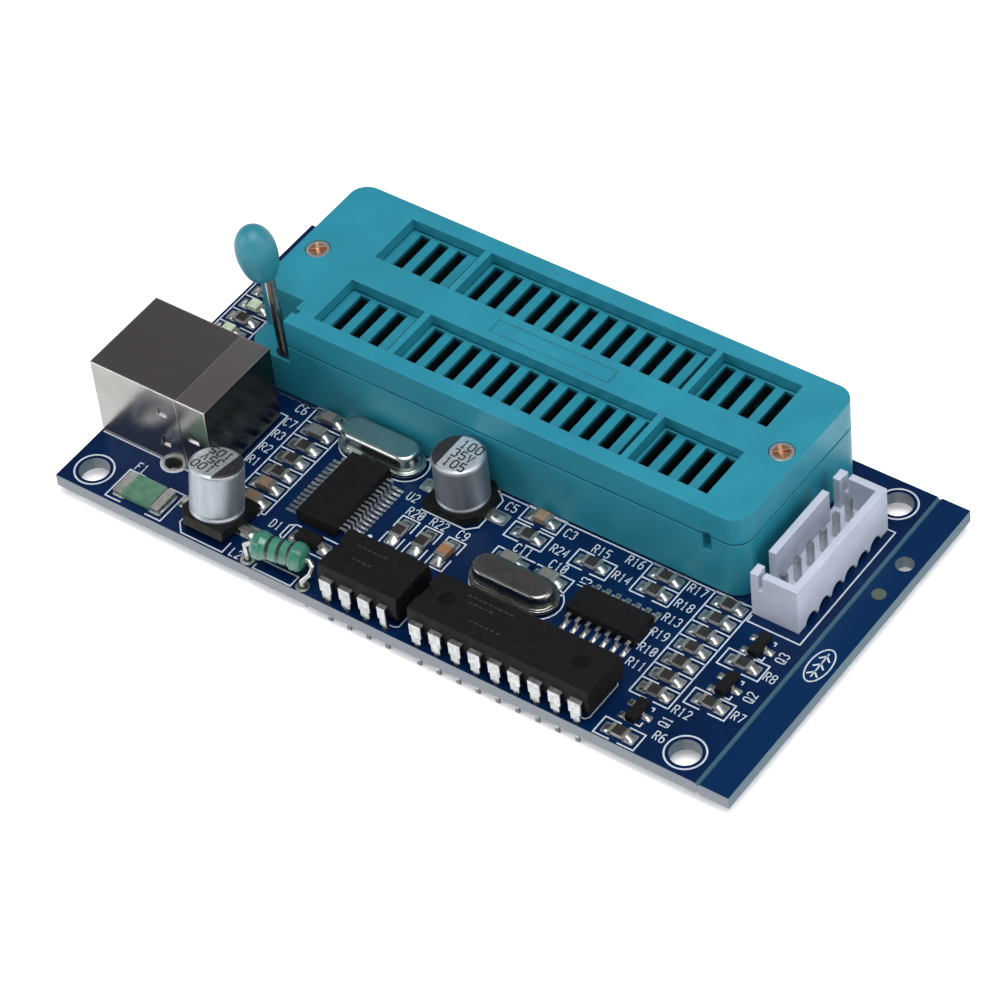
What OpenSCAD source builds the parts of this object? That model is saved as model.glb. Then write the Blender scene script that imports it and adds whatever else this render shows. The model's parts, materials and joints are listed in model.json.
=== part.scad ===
// USB microcontroller programmer: a circuit board with a 40-way lever socket, a USB-B receptacle,
// a six-way shrouded header and the parts soldered to it.
// Millimetres, +Z up. Origin: axis of the front left mounting hole, at the board's underside.
// +X runs along the board's front edge away from the USB receptacle, +Y towards the lever socket.

/* [Board] */
// board length along X, break-off strip included
board_l = 88.4; // [70:0.1:110]
// board depth along Y
board_d = 46.8; // [38:0.1:60]
// board thickness
board_t = 1.6; // [0.8:0.1:2.4]
// from the left edge to the first mounting hole
hole_x = 3.2; // [2.4:0.1:5]
// from the front edge to the first mounting hole
hole_y = 2.85; // [2.4:0.05:5]
// mounting hole spacing along X
hole_dx = 78.1; // [60:0.1:100]
// mounting hole spacing along Y
hole_dy = 40.8; // [30:0.1:50]
// mounting hole diameter
hole_d = 3.5; // [2.5:0.1:4]
// from the left edge to the V groove of the break-off strip
groove_x = 84.6; // [60:0.1:105]

/* [Lever socket] */
// contact pitch
pitch = 2.54; // [2.5:0.01:2.6]
// contacts in each row
zif_n = 20; // [12:1:24]
// socket body length
zif_l = 65.8; // [50:0.1:80]
// socket body depth
zif_w = 22.6; // [20:0.1:30]
// socket body height above the board
zif_h = 11.7; // [9:0.1:15]
// height of the parting plane between base and cover
zif_split = 7.7; // [5:0.1:10]
// spacing of the two rows of openings
zif_rows = 11.35; // [8:0.05:16]
// lever lean from upright when open, in degrees
lever_lean = 2.6; // [0:0.1:12]
// from the lever's shaft to the middle of the knob
lever_l = 14; // [11:0.1:20]
// knob lean from upright when open, in degrees
knob_lean = 10; // [0:0.5:20]
// knob diameter at its widest
knob_d = 4.7; // [3:0.1:8]
// slider travel when the lever is closed
slider_travel = 1; // [0.5:0.1:1.5]

/* [USB receptacle] */
// shell length along X
usb_l = 15.9; // [14:0.1:18]
// shell width along Y
usb_w = 11.7; // [11:0.1:13]
// shell height above the board
usb_h = 10.7; // [10:0.1:12]

/* [Header] */
// header contact count
hdr_n = 6; // [2:1:10]
// header contact pitch
hdr_pitch = 2.5; // [2:0.01:2.54]
// housing depth along X
hdr_w = 5.75; // [5:0.05:7]
// housing height above the board
hdr_h = 6.3; // [5:0.1:8]

/* [Chips and parts] */
// pins on each side of the long through-hole chip
dip_a_n = 9; // [4:1:14]
// pins on each side of the short through-hole chip
dip_b_n = 4; // [3:1:8]
// how far the through-hole pins reach below the board
pin_drop = 1.4; // [0.5:0.1:3]
// electrolytic can diameter
can_d = 6.05; // [4:0.05:10]
// electrolytic can height above the board
can_h = 7.4; // [5:0.1:11]
// crystal can height above the board
xtal_h = 2.8; // [2.4:0.1:4]

/* [Hidden] */
tip_z = -board_t - pin_drop;
hole_list = [for (i = [0, 1]) for (j = [0, 1]) [hole_x + i * hole_dx, hole_y + j * hole_dy]];
usb_x = 0.25;
usb_y = 8.15;
usb_tab_x = 10.2;
usb_wall = 0.4;
strip_hole = [86.55, 36.6];
zif_x = 9.4;
zif_y = 23.3;
zif_cx = 44;
zif_cy = zif_y + zif_w / 2;
zif_first = zif_cx - (zif_n - 1) * pitch / 2;
row_y = [zif_cy - zif_rows / 2, zif_cy + zif_rows / 2];
contact_y = [zif_cy - 3 * pitch, zif_cy + 3 * pitch];
pocket_w = 7.15;
slider_top = 10;
slider_low = 8.3;
slot_w = 1.4;
screw_x = [11.75, 72.95];
screw_y = 34.55;
lever_x = 14.3;
lever_z = 6.1;
lever_y = 24;
shaft_d = 1.4;
wire_d = 1.2;
knob_c = lever_l * [-sin(knob_lean - 2.9), 0, cos(knob_lean - 2.9)];
crank_d = 1.2;
crank_r = slider_travel / 1.286;
crank_y0 = 31.4;
crank_y1 = 37.8;
hdr_l = hdr_pitch * (hdr_n - 1) + 5;
hdr_x = 76.65;
hdr_y = 31.15 - hdr_l / 2;
hdr_pin_x = 79.2;
dip_row = 3 * pitch;
dip_a = [49.1, 0.3];
dip_b = [37.2, 0.45];
ssop_c = [29.85, 13.4];
so_c = [64.5, 13.85];
xtals = [[29.3, 21.05, 0], [53.35, 12.1, 0.35]];
cans = [[19.78, 3.8, 0, 11], [41.15, 19.95, 1, 0]];
coil_c = [30.05, 1.9, 2.6];
coil_yaw = 9;
coil_end = 3.55;
coil_holes = [[26.1, 0.95], [33.6, 0.85]];
fuse_c = [10.5, 2.68];
diode_c = [30.4, 6.35];
res_list = [[21.2, 17.5, 0], [21.2, 15.2, 0], [21.2, 12.9, 0], [37.8, 12.55, 1], [40.85, 12.55, 1],
    [50.05, 19.3, 0], [58.3, 19.45, 0], [66.15, 21.9, 0], [66.15, 19.6, 0], [74.1, 21.95, 0],
    [74.1, 19.6, 0], [74.1, 17.25, 0], [74.1, 14.95, 0], [74.1, 12.6, 0], [74.1, 10.3, 0],
    [74.1, 8, 0], [74.1, 1.45, 0], [79.8, 15.9, 0], [79.85, 9.6, 0], [2.85, 30.1, 0],
    [2.85, 34.75, 0]];
cap_list = [[21.2, 22.2, 0], [21.2, 19.85, 0], [43.9, 12.55, 1], [50.05, 22.05, 0],
    [50.6, 15.3, 0], [55.55, 15.3, 0], [21.2, 10.6, 0], [21.2, 8.25, 0]];
lamp_list = [[2.85, 32.4, 0], [2.6, 27.8, 0]];
sot_list = [[74.2, 4.65], [80.05, 12.45], [80, 18.7]];

// ---- placing ----
// moves board coordinates (front left corner of the top face) to the origin
module on_board() {
    translate([-hole_x, -hole_y, board_t]) children();
}

module box(x0, y0, z0, x1, y1, z1) {
    translate([x0, y0, z0]) cube([x1 - x0, y1 - y0, z1 - z0]);
}

module rod(x, y, z0, z1, d) {
    translate([x, y, z0]) cylinder(h = z1 - z0, d = d, $fn = 48);
}

// a bar along Y
module bar_y(x, z, y0, y1, d) {
    translate([x, y0, z]) rotate([-90, 0, 0]) cylinder(h = y1 - y0, d = d, $fn = 48);
}

// an upright block with round corners
module round_block(x0, y0, z0, x1, y1, z1, r) {
    translate([0, 0, z0]) linear_extrude(z1 - z0) round_sheet(x0, y0, x1, y1, r);
}

module round_sheet(x0, y0, x1, y1, r) {
    union() {
        translate([x0 + r, y0]) square([x1 - x0 - 2 * r, y1 - y0]);
        translate([x0, y0 + r]) square([x1 - x0, y1 - y0 - 2 * r]);
        for (x = [x0 + r, x1 - r]) for (y = [y0 + r, y1 - r]) {
            translate([x, y]) circle(r = r, $fn = 48);
        }
    }
}

// ---- board ----
module v_groove(z) {
    translate([groove_x, -1, z]) rotate([0, 45, 0]) translate([-0.28, 0, -0.28])
        cube([0.56, board_d + 2, 0.56]);
}

module circuit_board() {
    on_board() color([0.02, 0.12, 0.3]) difference() {
        box(0, 0, -board_t, board_l, board_d, 0);
        for (p = hole_list) rod(p[0], p[1], -board_t - 1, 1, hole_d);
        rod(strip_hole[0], strip_hole[1], -board_t - 1, 1, 2.1);
        for (y = [usb_y + 0.2, usb_y + usb_w - 0.2]) rod(usb_tab_x, y, -board_t - 1, 1, 2.3);
        for (p = usb_pins()) rod(p[0], p[1], -board_t - 1, 1, 1);
        for (i = [0:zif_n - 1]) for (y = contact_y) {
            rod(zif_first + i * pitch, y, -board_t - 1, 1, 0.9);
        }
        for (i = [0:hdr_n - 1]) rod(hdr_pin_x, header_pin_y(i), -board_t - 1, 1, 1.05);
        for (i = [0:dip_a_n - 1]) for (s = [0, 1]) {
            rod(dip_a[0] + i * pitch, dip_a[1] + 0.12 + s * (dip_row - 0.24), -board_t - 1, 1, 0.7);
        }
        for (i = [0:dip_b_n - 1]) for (s = [0, 1]) {
            rod(dip_b[0] + i * pitch, dip_b[1] + 0.12 + s * (dip_row - 0.24), -board_t - 1, 1, 0.8);
        }
        for (p = coil_holes) rod(p[0], p[1], -board_t - 1, 1, 0.9);
        for (c = xtals) for (s = [-1, 1]) {
            rod(c[0] + s * 2.44, c[1], -board_t - 1, 1, 0.8);
        }
        v_groove(0.08);
        v_groove(-board_t - 0.08);
    }
}

// ---- USB receptacle ----
function usb_pins() = [for (i = [0, 1]) for (j = [0, 1])
    [12.9 + i * 2, usb_y + usb_w / 2 - 1.25 + j * 2.5]];

module usb_shell() {
    x1 = usb_x + usb_l;
    y1 = usb_y + usb_w;
    t = usb_wall;
    on_board() color([0.62, 0.61, 0.6]) {
        difference() {
            union() {
                box(usb_x, usb_y, 0.05, x1 - 4.1, y1, usb_h);
                box(x1 - 4.12, usb_y + 0.06, 0.05, x1 - 4, y1 - 0.06, usb_h - 0.06);
                box(x1 - 4.02, usb_y, 0.05, x1, y1, usb_h);
            }
            box(usb_x - 1, usb_y + t, t, x1 - 4.6, y1 - t, usb_h - t);
            box(x1 - 4.7, usb_y + t, -1, x1 - t, y1 - t, usb_h - t);
            for (y = [usb_y - 0.5, y1 - 0.2]) {
                box(9.3, y, 7.2, 10.4, y + 0.7, 8.2);
                box(9.3, y, 2.6, 10.2, y + 0.7, 3.9);
                box(13.2, y, 5.1, 14.6, y + 0.7, 6.1);
            }
        }
        for (y = [usb_y, y1 - 0.35]) box(usb_tab_x - 0.85, y, -2.45, usb_tab_x + 0.85, y + 0.35, 0.3);
    }
}

module usb_insulator() {
    on_board() color([0.1, 0.1, 0.11]) {
        difference() {
            union() {
                box(9.2, usb_y + 0.5, 0.55, usb_x + usb_l - 0.55, usb_y + usb_w - 0.5, usb_h - 0.5);
                box(1.6, usb_y + 3.05, 3.9, 9.3, usb_y + usb_w - 3.05, 7.1);
            }
            for (s = [0, 1]) for (j = [0, 1]) {
                box(2.2, usb_y + usb_w / 2 - 1.8 + j * 2.5, 3.7 + s * 3.15, 9.3,
                    usb_y + usb_w / 2 - 0.7 + j * 2.5, 4.15 + s * 3.15);
            }
        }
    }
}

module usb_contacts() {
    on_board() color([0.85, 0.68, 0.35]) {
        for (s = [0, 1]) for (j = [0, 1]) {
            box(2.4, usb_y + usb_w / 2 - 1.7 + j * 2.5, 3.85 + s * 3.05, 9.6,
                usb_y + usb_w / 2 - 0.8 + j * 2.5, 4.1 + s * 3.05);
        }
        for (p = usb_pins()) box(p[0] - 0.3, p[1] - 0.2, tip_z, p[0] + 0.3, p[1] + 0.2, 2.4);
    }
}

// ---- lever socket ----
module notch_cut(z0, z1) {
    box(zif_x - 1, zif_y - 1, z0, 15.5, 27.1, z1);
}

module socket_base() {
    x1 = zif_x + zif_l;
    y1 = zif_y + zif_w;
    on_board() color([0.11, 0.42, 0.5]) difference() {
        round_block(zif_x, zif_y, 0.15, x1, y1, zif_split, 2.2);
        box(17.2, zif_y + 1.3, 3, 70.9, zif_cy - 1.5, zif_split + 1);
        box(17.2, zif_cy + 1.5, 3, 70.9, y1 - 1.3, zif_split + 1);
        box(17.15, zif_cy - 1.6, 6.6, 70.9, zif_cy + 1.6, zif_split + 1);
        notch_cut(5.3, zif_split + 1);
        bar_y(lever_x, lever_z, 26, 43.2, shaft_d + 0.12);
        box(lever_x - 2.6, crank_y0 - 1.2, 4.1, 17.3, crank_y1 + 1.2, zif_split + 1);
        for (x = screw_x) rod(x, screw_y, 1.2, zif_split + 1, 2.1);
        for (i = [0:zif_n - 1]) for (y = contact_y) {
            box(zif_first + i * pitch - 0.35, y - 0.25, -1, zif_first + i * pitch + 0.35, y + 0.25, 4);
        }
        box(70.2, zif_y - 1, 5.6, 71.3, zif_y + 1.1, zif_split + 1);
        box(zif_x - 1, zif_cy - 3, -1, zif_x + 0.5, zif_cy + 3, 0.6);
    }
}

module pocket(x0, x1) {
    for (y = row_y) box(x0, y - pocket_w / 2, slider_top, x1, y + pocket_w / 2, zif_h + 1);
}

module socket_cover() {
    x1 = zif_x + zif_l;
    y1 = zif_y + zif_w;
    on_board() color([0.16, 0.57, 0.67]) difference() {
        union() {
            round_block(zif_x, zif_y, zif_split + 0.3, x1, y1, zif_h, 2.2);
            round_block(zif_x + 0.25, zif_y + 0.25, zif_split, x1 - 0.25, y1 - 0.25, zif_split + 0.4, 2);
        }
        box(16.2, zif_y + 1.3, zif_split - 1, 71.5, y1 - 1.3, slider_top + 0.25);
        pocket(18.05, 28.1);
        pocket(28.9, 58.75);
        pocket(59.55, 69.65);
        notch_cut(zif_split - 1, zif_h + 1);
        box(70.2, zif_y - 1, zif_split - 1, 71.3, zif_y + 1.1, 8.3);
        box(lever_x - 2.6, crank_y0 - 1.2, zif_split - 1, 16.4, crank_y1 + 1.2, slider_top + 0.25);
        for (x = screw_x) {
            rod(x, screw_y, zif_split - 1, zif_h + 1, 2.1);
            rod(x, screw_y, zif_h - 1.1, zif_h + 1, 2.9);
        }
        difference() {
            box(35.7, zif_cy - 1.2, zif_h - 0.2, 51.7, zif_cy + 1.1, zif_h + 1);
            box(36.1, zif_cy - 0.85, zif_h - 1, 51.3, zif_cy + 0.75, zif_h - 0.06);
        }
        box(14.7, 24.9, zif_h - 0.7, 16.2, 25.6, zif_h + 1);
    }
}

module socket_slider() {
    on_board() color([0.2, 0.6, 0.68]) difference() {
        union() {
            box(17.6, zif_y + 1.65, slider_low, 70.9, zif_y + zif_w - 1.65, slider_top - 0.02);
            box(15.9, crank_y0 + 0.5, 8.65, 18, crank_y1 - 0.5, slider_top - 0.02);
            box(lever_x + crank_offset_x() - 1.75, crank_y0 + 0.5, 8.65, 16.2, crank_y1 - 0.5,
                slider_top - 0.02);
            for (s = [-1, 1]) {
                translate([lever_x + crank_offset_x() + s * 1.25 - 0.5, crank_y0 + 0.5, 5.9])
                    cube([1, crank_y1 - crank_y0 - 1, 4.08]);
            }
        }
        box(lever_x - 3, screw_y - 1.4, 5, lever_x + crank_offset_x() - 0.73, screw_y + 1.4, zif_h);
        for (i = [0:zif_n - 1]) for (y = row_y) {
            box(zif_first + i * pitch - slot_w / 2, y - pocket_w / 2 + 0.15, slider_low - 1,
                zif_first + i * pitch + slot_w / 2, y + pocket_w / 2 - 0.15, slider_top + 1);
        }
    }
}

module contact(x, y, row) {
    for (s = [-1, 1]) box(x + s * 0.45 - 0.1, row - 2.9, 3.35, x + s * 0.45 + 0.1, row + 2.9, 7.6);
    box(x - 0.55, row - 2.9, 3.1, x + 0.55, row + 2.9, 3.5);
    box(x - 0.25, y - 0.15, tip_z, x + 0.25, y + 0.15, 3.3);
}

module socket_contacts_front() {
    on_board() color([0.75, 0.72, 0.65]) for (i = [0:zif_n - 1]) {
        contact(zif_first + i * pitch, contact_y[0], row_y[0]);
    }
}

module socket_contacts_rear() {
    on_board() color([0.75, 0.72, 0.65]) for (i = [0:zif_n - 1]) {
        contact(zif_first + i * pitch, contact_y[1], row_y[1]);
    }
}

module socket_screws() {
    on_board() color([0.72, 0.45, 0.32]) for (x = screw_x) {
        difference() {
            union() {
                rod(x, screw_y, 1.3, zif_h - 1.1, 2);
                rod(x, screw_y, zif_h - 1.1, zif_h - 0.1, 2.7);
            }
            for (a = [45, 135]) translate([x, screw_y, zif_h - 0.35]) rotate([0, 0, a]) {
                cube([2, 0.4, 1.2], center = true);
            }
        }
    }
}

function crank_offset_x() = crank_r * sin(40);

module lever_shaft() {
    on_board() color([0.55, 0.53, 0.5]) {
        bar_y(lever_x, lever_z, lever_y - 0.5, crank_y0 - 0.4, shaft_d);
        bar_y(lever_x, lever_z, crank_y1 + 0.4, 43, shaft_d);
        for (y = [crank_y0 - 0.5, crank_y1]) bar_y(lever_x, lever_z, y, y + 0.5, 2.9);
        translate([crank_offset_x(), 0, crank_r * cos(40)]) {
            bar_y(lever_x, lever_z, crank_y0 - 0.2, crank_y1 + 0.2, crank_d);
        }
        lever_wire(lever_l - 2);
    }
}

// the upright wire of the lever, from its shaft into the knob
module lever_wire(l) {
    translate([lever_x, lever_y, lever_z]) rotate([0, -lever_lean, 0]) {
        cylinder(h = l, d = wire_d, $fn = 48);
    }
}

// blunt egg-shaped knob, rounder at its free end
module lever_knob() {
    h = 7;
    r = knob_d / 2;
    on_board() color([0.14, 0.53, 0.62]) difference() {
        translate([lever_x, lever_y, lever_z] + knob_c) rotate([0, -knob_lean, 0]) {
            translate([0, 0, -h / 2]) rotate_extrude($fn = 96) polygon([for (i = [0:24])
                let (a = i * 7.5, c = (1 - cos(a)) / 2)
                [r * pow(sin(a), 0.5 + 0.45 * c) * (0.96 + 0.04 * c), h * c]]);
        }
        lever_wire(lever_l - 1.9);
    }
}

// ---- header ----
function header_pin_y(i) = hdr_y + hdr_l / 2 + (i - (hdr_n - 1) / 2) * hdr_pitch;

module header_housing() {
    y1 = hdr_y + hdr_l;
    x1 = hdr_x + hdr_w;
    t = 0.85;
    on_board() color([0.86, 0.86, 0.88]) difference() {
        box(hdr_x, hdr_y, 0.05, x1, y1, hdr_h);
        box(hdr_x + t, hdr_y + t, 2, x1 - t, y1 - t, hdr_h + 1);
        for (y = [hdr_y + 1.55, y1 - 3.55]) box(hdr_x - 1, y, 2, hdr_x + 1.2, y + 2, hdr_h + 1);
        for (y = [hdr_y - 1, y1 - 1.2]) box(hdr_x + 0.95, y, hdr_h - 2.2, hdr_x + 1.5, y + 2.2, hdr_h + 1);
        for (i = [0:hdr_n - 1]) {
            box(hdr_pin_x - 0.32, header_pin_y(i) - 0.32, -1, hdr_pin_x + 0.32,
                header_pin_y(i) + 0.32, 3);
            translate([x1 + 1, header_pin_y(i), 0]) rotate([0, -90, 0]) {
                cylinder(h = 3.3, d = 2.1, $fn = 48);
            }
        }
    }
}

module header_pins() {
    on_board() color([0.8, 0.79, 0.76]) for (i = [0:hdr_n - 1]) {
        box(hdr_pin_x - 0.32, header_pin_y(i) - 0.32, tip_z, hdr_pin_x + 0.32,
            header_pin_y(i) + 0.32, 5.3);
    }
}

// ---- through-hole chips ----
module dip_body(p, n, notch_end) {
    l = n * pitch + 0.15;
    x0 = p[0] + (n - 1) * pitch / 2 - l / 2;
    cy = p[1] + dip_row / 2;
    difference() {
        translate([x0, cy, 0]) rotate([90, 0, 90]) linear_extrude(l) polygon([
            [-2.95, 1.3], [2.95, 1.3], [3.2, 2.75], [3.2, 3.05], [2.95, 4.5], [-2.95, 4.5],
            [-3.2, 3.05], [-3.2, 2.75]]);
        translate([notch_end > 0 ? x0 + l : x0, cy, 4.1]) cylinder(h = 1, d = 1.9, $fn = 48);
        for (x = [x0 + 2.9, x0 + l - 3.1]) if (n > 6) rod(x, cy + 0.2, 4.4, 5, 1.9);
    }
}

// the last lead of each row has no shoulder on its outer side when narrow_end is set
module dip_leads(p, n, narrow_end) {
    for (i = [0:n - 1]) {
        x = p[0] + i * pitch;
        cut = narrow_end && i == n - 1 ? 0.5 : 0;
        waist = 1.4;
        for (s = [0, 1]) translate([x, p[1] + dip_row / 2, 0]) rotate([0, 0, s * 180]) {
            box(-0.75 + s * cut, -dip_row / 2, 2.9, 0.75 - (1 - s) * cut, -2.9, 3.15);
            box(-0.75 + s * cut, -dip_row / 2, waist, 0.75 - (1 - s) * cut, -dip_row / 2 + 0.25, 3.1);
            box(max(-0.56, -0.75 + s * cut), -dip_row / 2, 0.35, min(0.56, 0.75 - (1 - s) * cut),
                -dip_row / 2 + 0.25, waist + 0.1);
            box(-0.25, -dip_row / 2, tip_z, 0.25, -dip_row / 2 + 0.25, 0.4);
        }
    }
}

module long_chip_body() {
    on_board() color([0.1, 0.1, 0.1]) dip_body(dip_a, dip_a_n, -1);
}

module long_chip_leads() {
    on_board() color([0.8, 0.8, 0.8]) dip_leads(dip_a, dip_a_n, false);
}

module short_chip_body() {
    on_board() color([0.1, 0.1, 0.1]) dip_body(dip_b, dip_b_n, -1);
}

module short_chip_leads() {
    on_board() color([0.8, 0.8, 0.8]) dip_leads(dip_b, dip_b_n, true);
}

// ---- surface-mount chips ----
// gull-wing leads along one edge; the row runs along X, feet towards -Y
module gull_row(n, p, w, span, body, h) {
    for (i = [0:n - 1]) {
        x = (i - (n - 1) / 2) * p;
        box(x - w / 2, -span / 2, 0.04, x + w / 2, -span / 2 + 0.62, 0.2);
        box(x - w / 2, -span / 2 + 0.46, 0.04, x + w / 2, -span / 2 + 0.62, h);
        box(x - w / 2, -span / 2 + 0.46, h - 0.16, x + w / 2, -body / 2 + 0.3, h);
    }
}

module flat_body(l, w, z0, z1) {
    rotate([90, 0, 90]) translate([0, 0, -l / 2]) linear_extrude(l) polygon([
        [-w / 2 + 0.15, z0], [w / 2 - 0.15, z0], [w / 2, (z0 + z1) / 2],
        [w / 2 - 0.15, z1], [-w / 2 + 0.15, z1], [-w / 2, (z0 + z1) / 2]]);
}

module bridge_chip_body() {
    on_board() color([0.12, 0.12, 0.12]) translate([ssop_c[0], ssop_c[1], 0]) rotate([0, 0, 90]) {
        difference() {
            flat_body(10.2, 5.3, 0.12, 1.8);
            rod(-4.2, 1.7, 1.7, 3, 0.9);
        }
    }
}

module bridge_chip_leads() {
    on_board() color([0.8, 0.8, 0.8]) translate([ssop_c[0], ssop_c[1], 0]) rotate([0, 0, 90]) {
        for (a = [0, 180]) rotate([0, 0, a]) gull_row(14, 0.65, 0.3, 7.8, 5.3, 1);
    }
}

module driver_chip_body() {
    on_board() color([0.12, 0.12, 0.12]) translate([so_c[0], so_c[1], 0]) difference() {
        flat_body(8.65, 3.9, 0.12, 1.6);
        rod(-3.6, -1.1, 1.5, 3, 0.9);
    }
}

module driver_chip_leads() {
    on_board() color([0.8, 0.8, 0.8]) translate([so_c[0], so_c[1], 0]) {
        for (a = [0, 180]) rotate([0, 0, a]) gull_row(7, 1.27, 0.42, 6.1, 3.9, 0.9);
    }
}

module transistor_bodies() {
    on_board() color([0.1, 0.1, 0.1]) for (p = sot_list) translate([p[0], p[1], 0]) {
        rotate([0, 0, 90]) flat_body(2.9, 1.35, 0.06, 1.05);
    }
}

module transistor_leads() {
    on_board() color([0.8, 0.8, 0.8]) for (p = sot_list) translate([p[0], p[1], 0]) {
        rotate([0, 0, -90]) gull_row(2, 1.9, 0.42, 2.5, 1.35, 0.55);
        rotate([0, 0, 90]) gull_row(1, 1, 0.42, 2.5, 1.35, 0.55);
    }
}

module diode_body() {
    on_board() color([0.1, 0.1, 0.1]) translate([diode_c[0], diode_c[1], 0]) {
        flat_body(2.8, 1.7, 0.06, 1.15);
    }
}

module diode_leads() {
    on_board() color([0.8, 0.8, 0.8]) translate([diode_c[0], diode_c[1], 0]) {
        for (a = [90, -90]) rotate([0, 0, a]) gull_row(1, 1, 0.9, 4.2, 2.8, 0.6);
    }
}

// ---- crystals ----
// half of a can's upright section, its top edge rounded
function can_section(w, h) = let (r = 0.45) [[0, 0.4], [2.2, 0.4], [2.2, 0.8], [w / 2 + 0.1, 0.8],
    [w / 2, 0.95], each [for (a = [0:15:90]) [w / 2 - r + r * cos(a), h - r + r * sin(a)]], [0, h]];

// an upright can with half-round ends, length l, from its half section
module pill(l, w, section) {
    mirrored = [for (i = [len(section) - 1:-1:0]) [-section[i][0], section[i][1]]];
    union() {
        translate([(w - l) / 2, 0, 0]) rotate([90, 0, 90]) linear_extrude(l - w) {
            polygon(concat(section, mirrored));
        }
        for (s = [-1, 1]) translate([s * (l - w) / 2, 0, 0]) rotate_extrude($fn = 96) polygon(section);
    }
}

module crystal_cans() {
    on_board() color([0.55, 0.57, 0.53]) for (c = xtals) translate([c[0], c[1], 0]) {
        pill(10, 3.5, can_section(3.5, xtal_h - c[2]));
    }
}

module stadium(l, w) {
    union() {
        square([l - w, w], center = true);
        for (s = [-1, 1]) translate([s * (l - w) / 2, 0]) circle(d = w, $fn = 64);
    }
}

module crystal_bases() {
    on_board() color([0.15, 0.13, 0.1]) for (c = xtals) translate([c[0], c[1], 0.04]) {
        linear_extrude(0.36) stadium(10.3, 4);
    }
}

module crystal_leads() {
    on_board() color([0.8, 0.8, 0.8]) for (c = xtals) for (s = [-1, 1]) {
        rod(c[0] + s * 2.44, c[1], tip_z + 0.1, 0.3, 0.45);
    }
}

// ---- electrolytic capacitors ----
// stands children on the board at a capacitor's place; a leaning one rests on its rear bottom edge
module at_can(c) {
    translate([c[0], c[1], 0.06 + (can_d + 0.5) / 2 * sin(c[3])]) rotate([-c[3], 0, 0]) children();
}

module capacitor_cans() {
    r = can_d / 2;
    h = can_h - 0.85;
    on_board() color([0.72, 0.72, 0.74]) for (c = cans) at_can(c) translate([0, 0, 0.79]) {
        rotate_extrude($fn = 96) polygon([
            [0, 0], [r - 0.15, 0], [r, 0.15], [r, 0.6], [r - 0.2, 0.85], [r, 1.1],
            [r, h - 0.42], [r - 0.1, h - 0.14], [r - 0.38, h], [0, h]]);
    }
}

module capacitor_bases() {
    w = can_d + 0.5;
    k = 1.3;
    on_board() color([0.07, 0.07, 0.07]) for (c = cans) at_can(c) rotate([0, 0, c[2] * 180]) {
        difference() {
            linear_extrude(1.2) polygon([[-w / 2 + k, -w / 2], [w / 2, -w / 2], [w / 2, w / 2],
                [-w / 2 + k, w / 2], [-w / 2, w / 2 - k], [-w / 2, -w / 2 + k]]);
            translate([0, 0, 0.74]) cylinder(h = 1, d = can_d + 0.06, $fn = 96);
            for (s = [-1, 1]) {
                box(s > 0 ? 1.2 : -w, -0.5, -1, s > 0 ? w : -1.2, 0.5, 0.2);
            }
        }
    }
}

module capacitor_tabs() {
    on_board() color([0.8, 0.8, 0.8]) for (c = cans) for (s = [-1, 1]) at_can(c) {
        box(s * 3.05 - 1.55, -0.42, -0.02, s * 3.05 + 1.55, 0.42, 0.18);
    }
}

// ---- coil and fuse ----
module coil_body() {
    on_board() color([0.2, 0.55, 0.42]) translate(coil_c) rotate([0, 90, coil_yaw]) {
        rotate_extrude($fn = 72) polygon([[0, -3.35], [0.75, -3.3], [1.3, -3.02], [1.62, -2.6],
            [1.66, -1.95], [1.4, -1.3], [1.38, 1.3], [1.66, 1.95], [1.62, 2.6], [1.3, 3.02],
            [0.75, 3.3], [0, 3.35]]);
    }
}

module coil_leads() {
    on_board() color([0.78, 0.76, 0.72]) for (i = [0, 1]) {
        s = i * 2 - 1;
        h = coil_holes[i];
        bend = coil_c + s * coil_end * [cos(coil_yaw), sin(coil_yaw), -0.04 * s];
        out = h[0] + 0.25 + s * 0.4;
        path = [coil_c, bend, [out, bend[1] - 0.3, 2.15], [out, (h[1] + bend[1]) / 2 - 0.1, 1.55],
            [h[0], h[1], 0.8]];
        for (k = [1:4]) {
            slope_rod(path[k - 1], path[k], 0.6);
            translate(path[k]) sphere(d = 0.62, $fn = 32);
        }
        rod(h[0], h[1], tip_z + 0.05, 0.8, 0.6);
    }
}

// a round rod from point a to point b
module slope_rod(a, b, d) {
    v = b - a;
    l = norm(v);
    translate(a) rotate([0, acos(v[2] / l), atan2(v[1], v[0])]) cylinder(h = l, d = d, $fn = 32);
}

module fuse_body() {
    on_board() color([0.2, 0.5, 0.25]) {
        box(fuse_c[0] - 1.95, fuse_c[1] - 1.65, 0.12, fuse_c[0] + 1.95, fuse_c[1] + 1.65, 0.85);
    }
}

module fuse_ends() {
    on_board() color([0.8, 0.78, 0.74]) for (s = [-1, 1]) {
        x = fuse_c[0] + s * 2.55;
        box(x - 0.6, fuse_c[1] - 1.6, 0.04, x + 0.6, fuse_c[1] + 1.6, 0.72);
    }
}

// ---- chip resistors, chip capacitors, indicator lamps ----
module at_chips(list) {
    for (p = list) translate([p[0], p[1], 0]) rotate([0, 0, p[2] * 90]) children();
}

module chip_core(l, w, h) {
    box(-l / 2 + 0.4, -w / 2, 0.08, l / 2 - 0.4, w / 2, h);
}

module chip_ends(l, w, h) {
    for (s = [-1, 1]) {
        translate([s * (l / 2 - 0.2) - 0.2, -w / 2 - 0.02, 0.05]) cube([0.4, w + 0.04, h]);
    }
}

module resistor_bodies() {
    on_board() color([0.13, 0.12, 0.12]) at_chips(res_list) chip_core(2.1, 1.3, 0.6);
}

module resistor_ends() {
    on_board() color([0.8, 0.8, 0.8]) at_chips(res_list) chip_ends(2.1, 1.3, 0.55);
}

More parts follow.
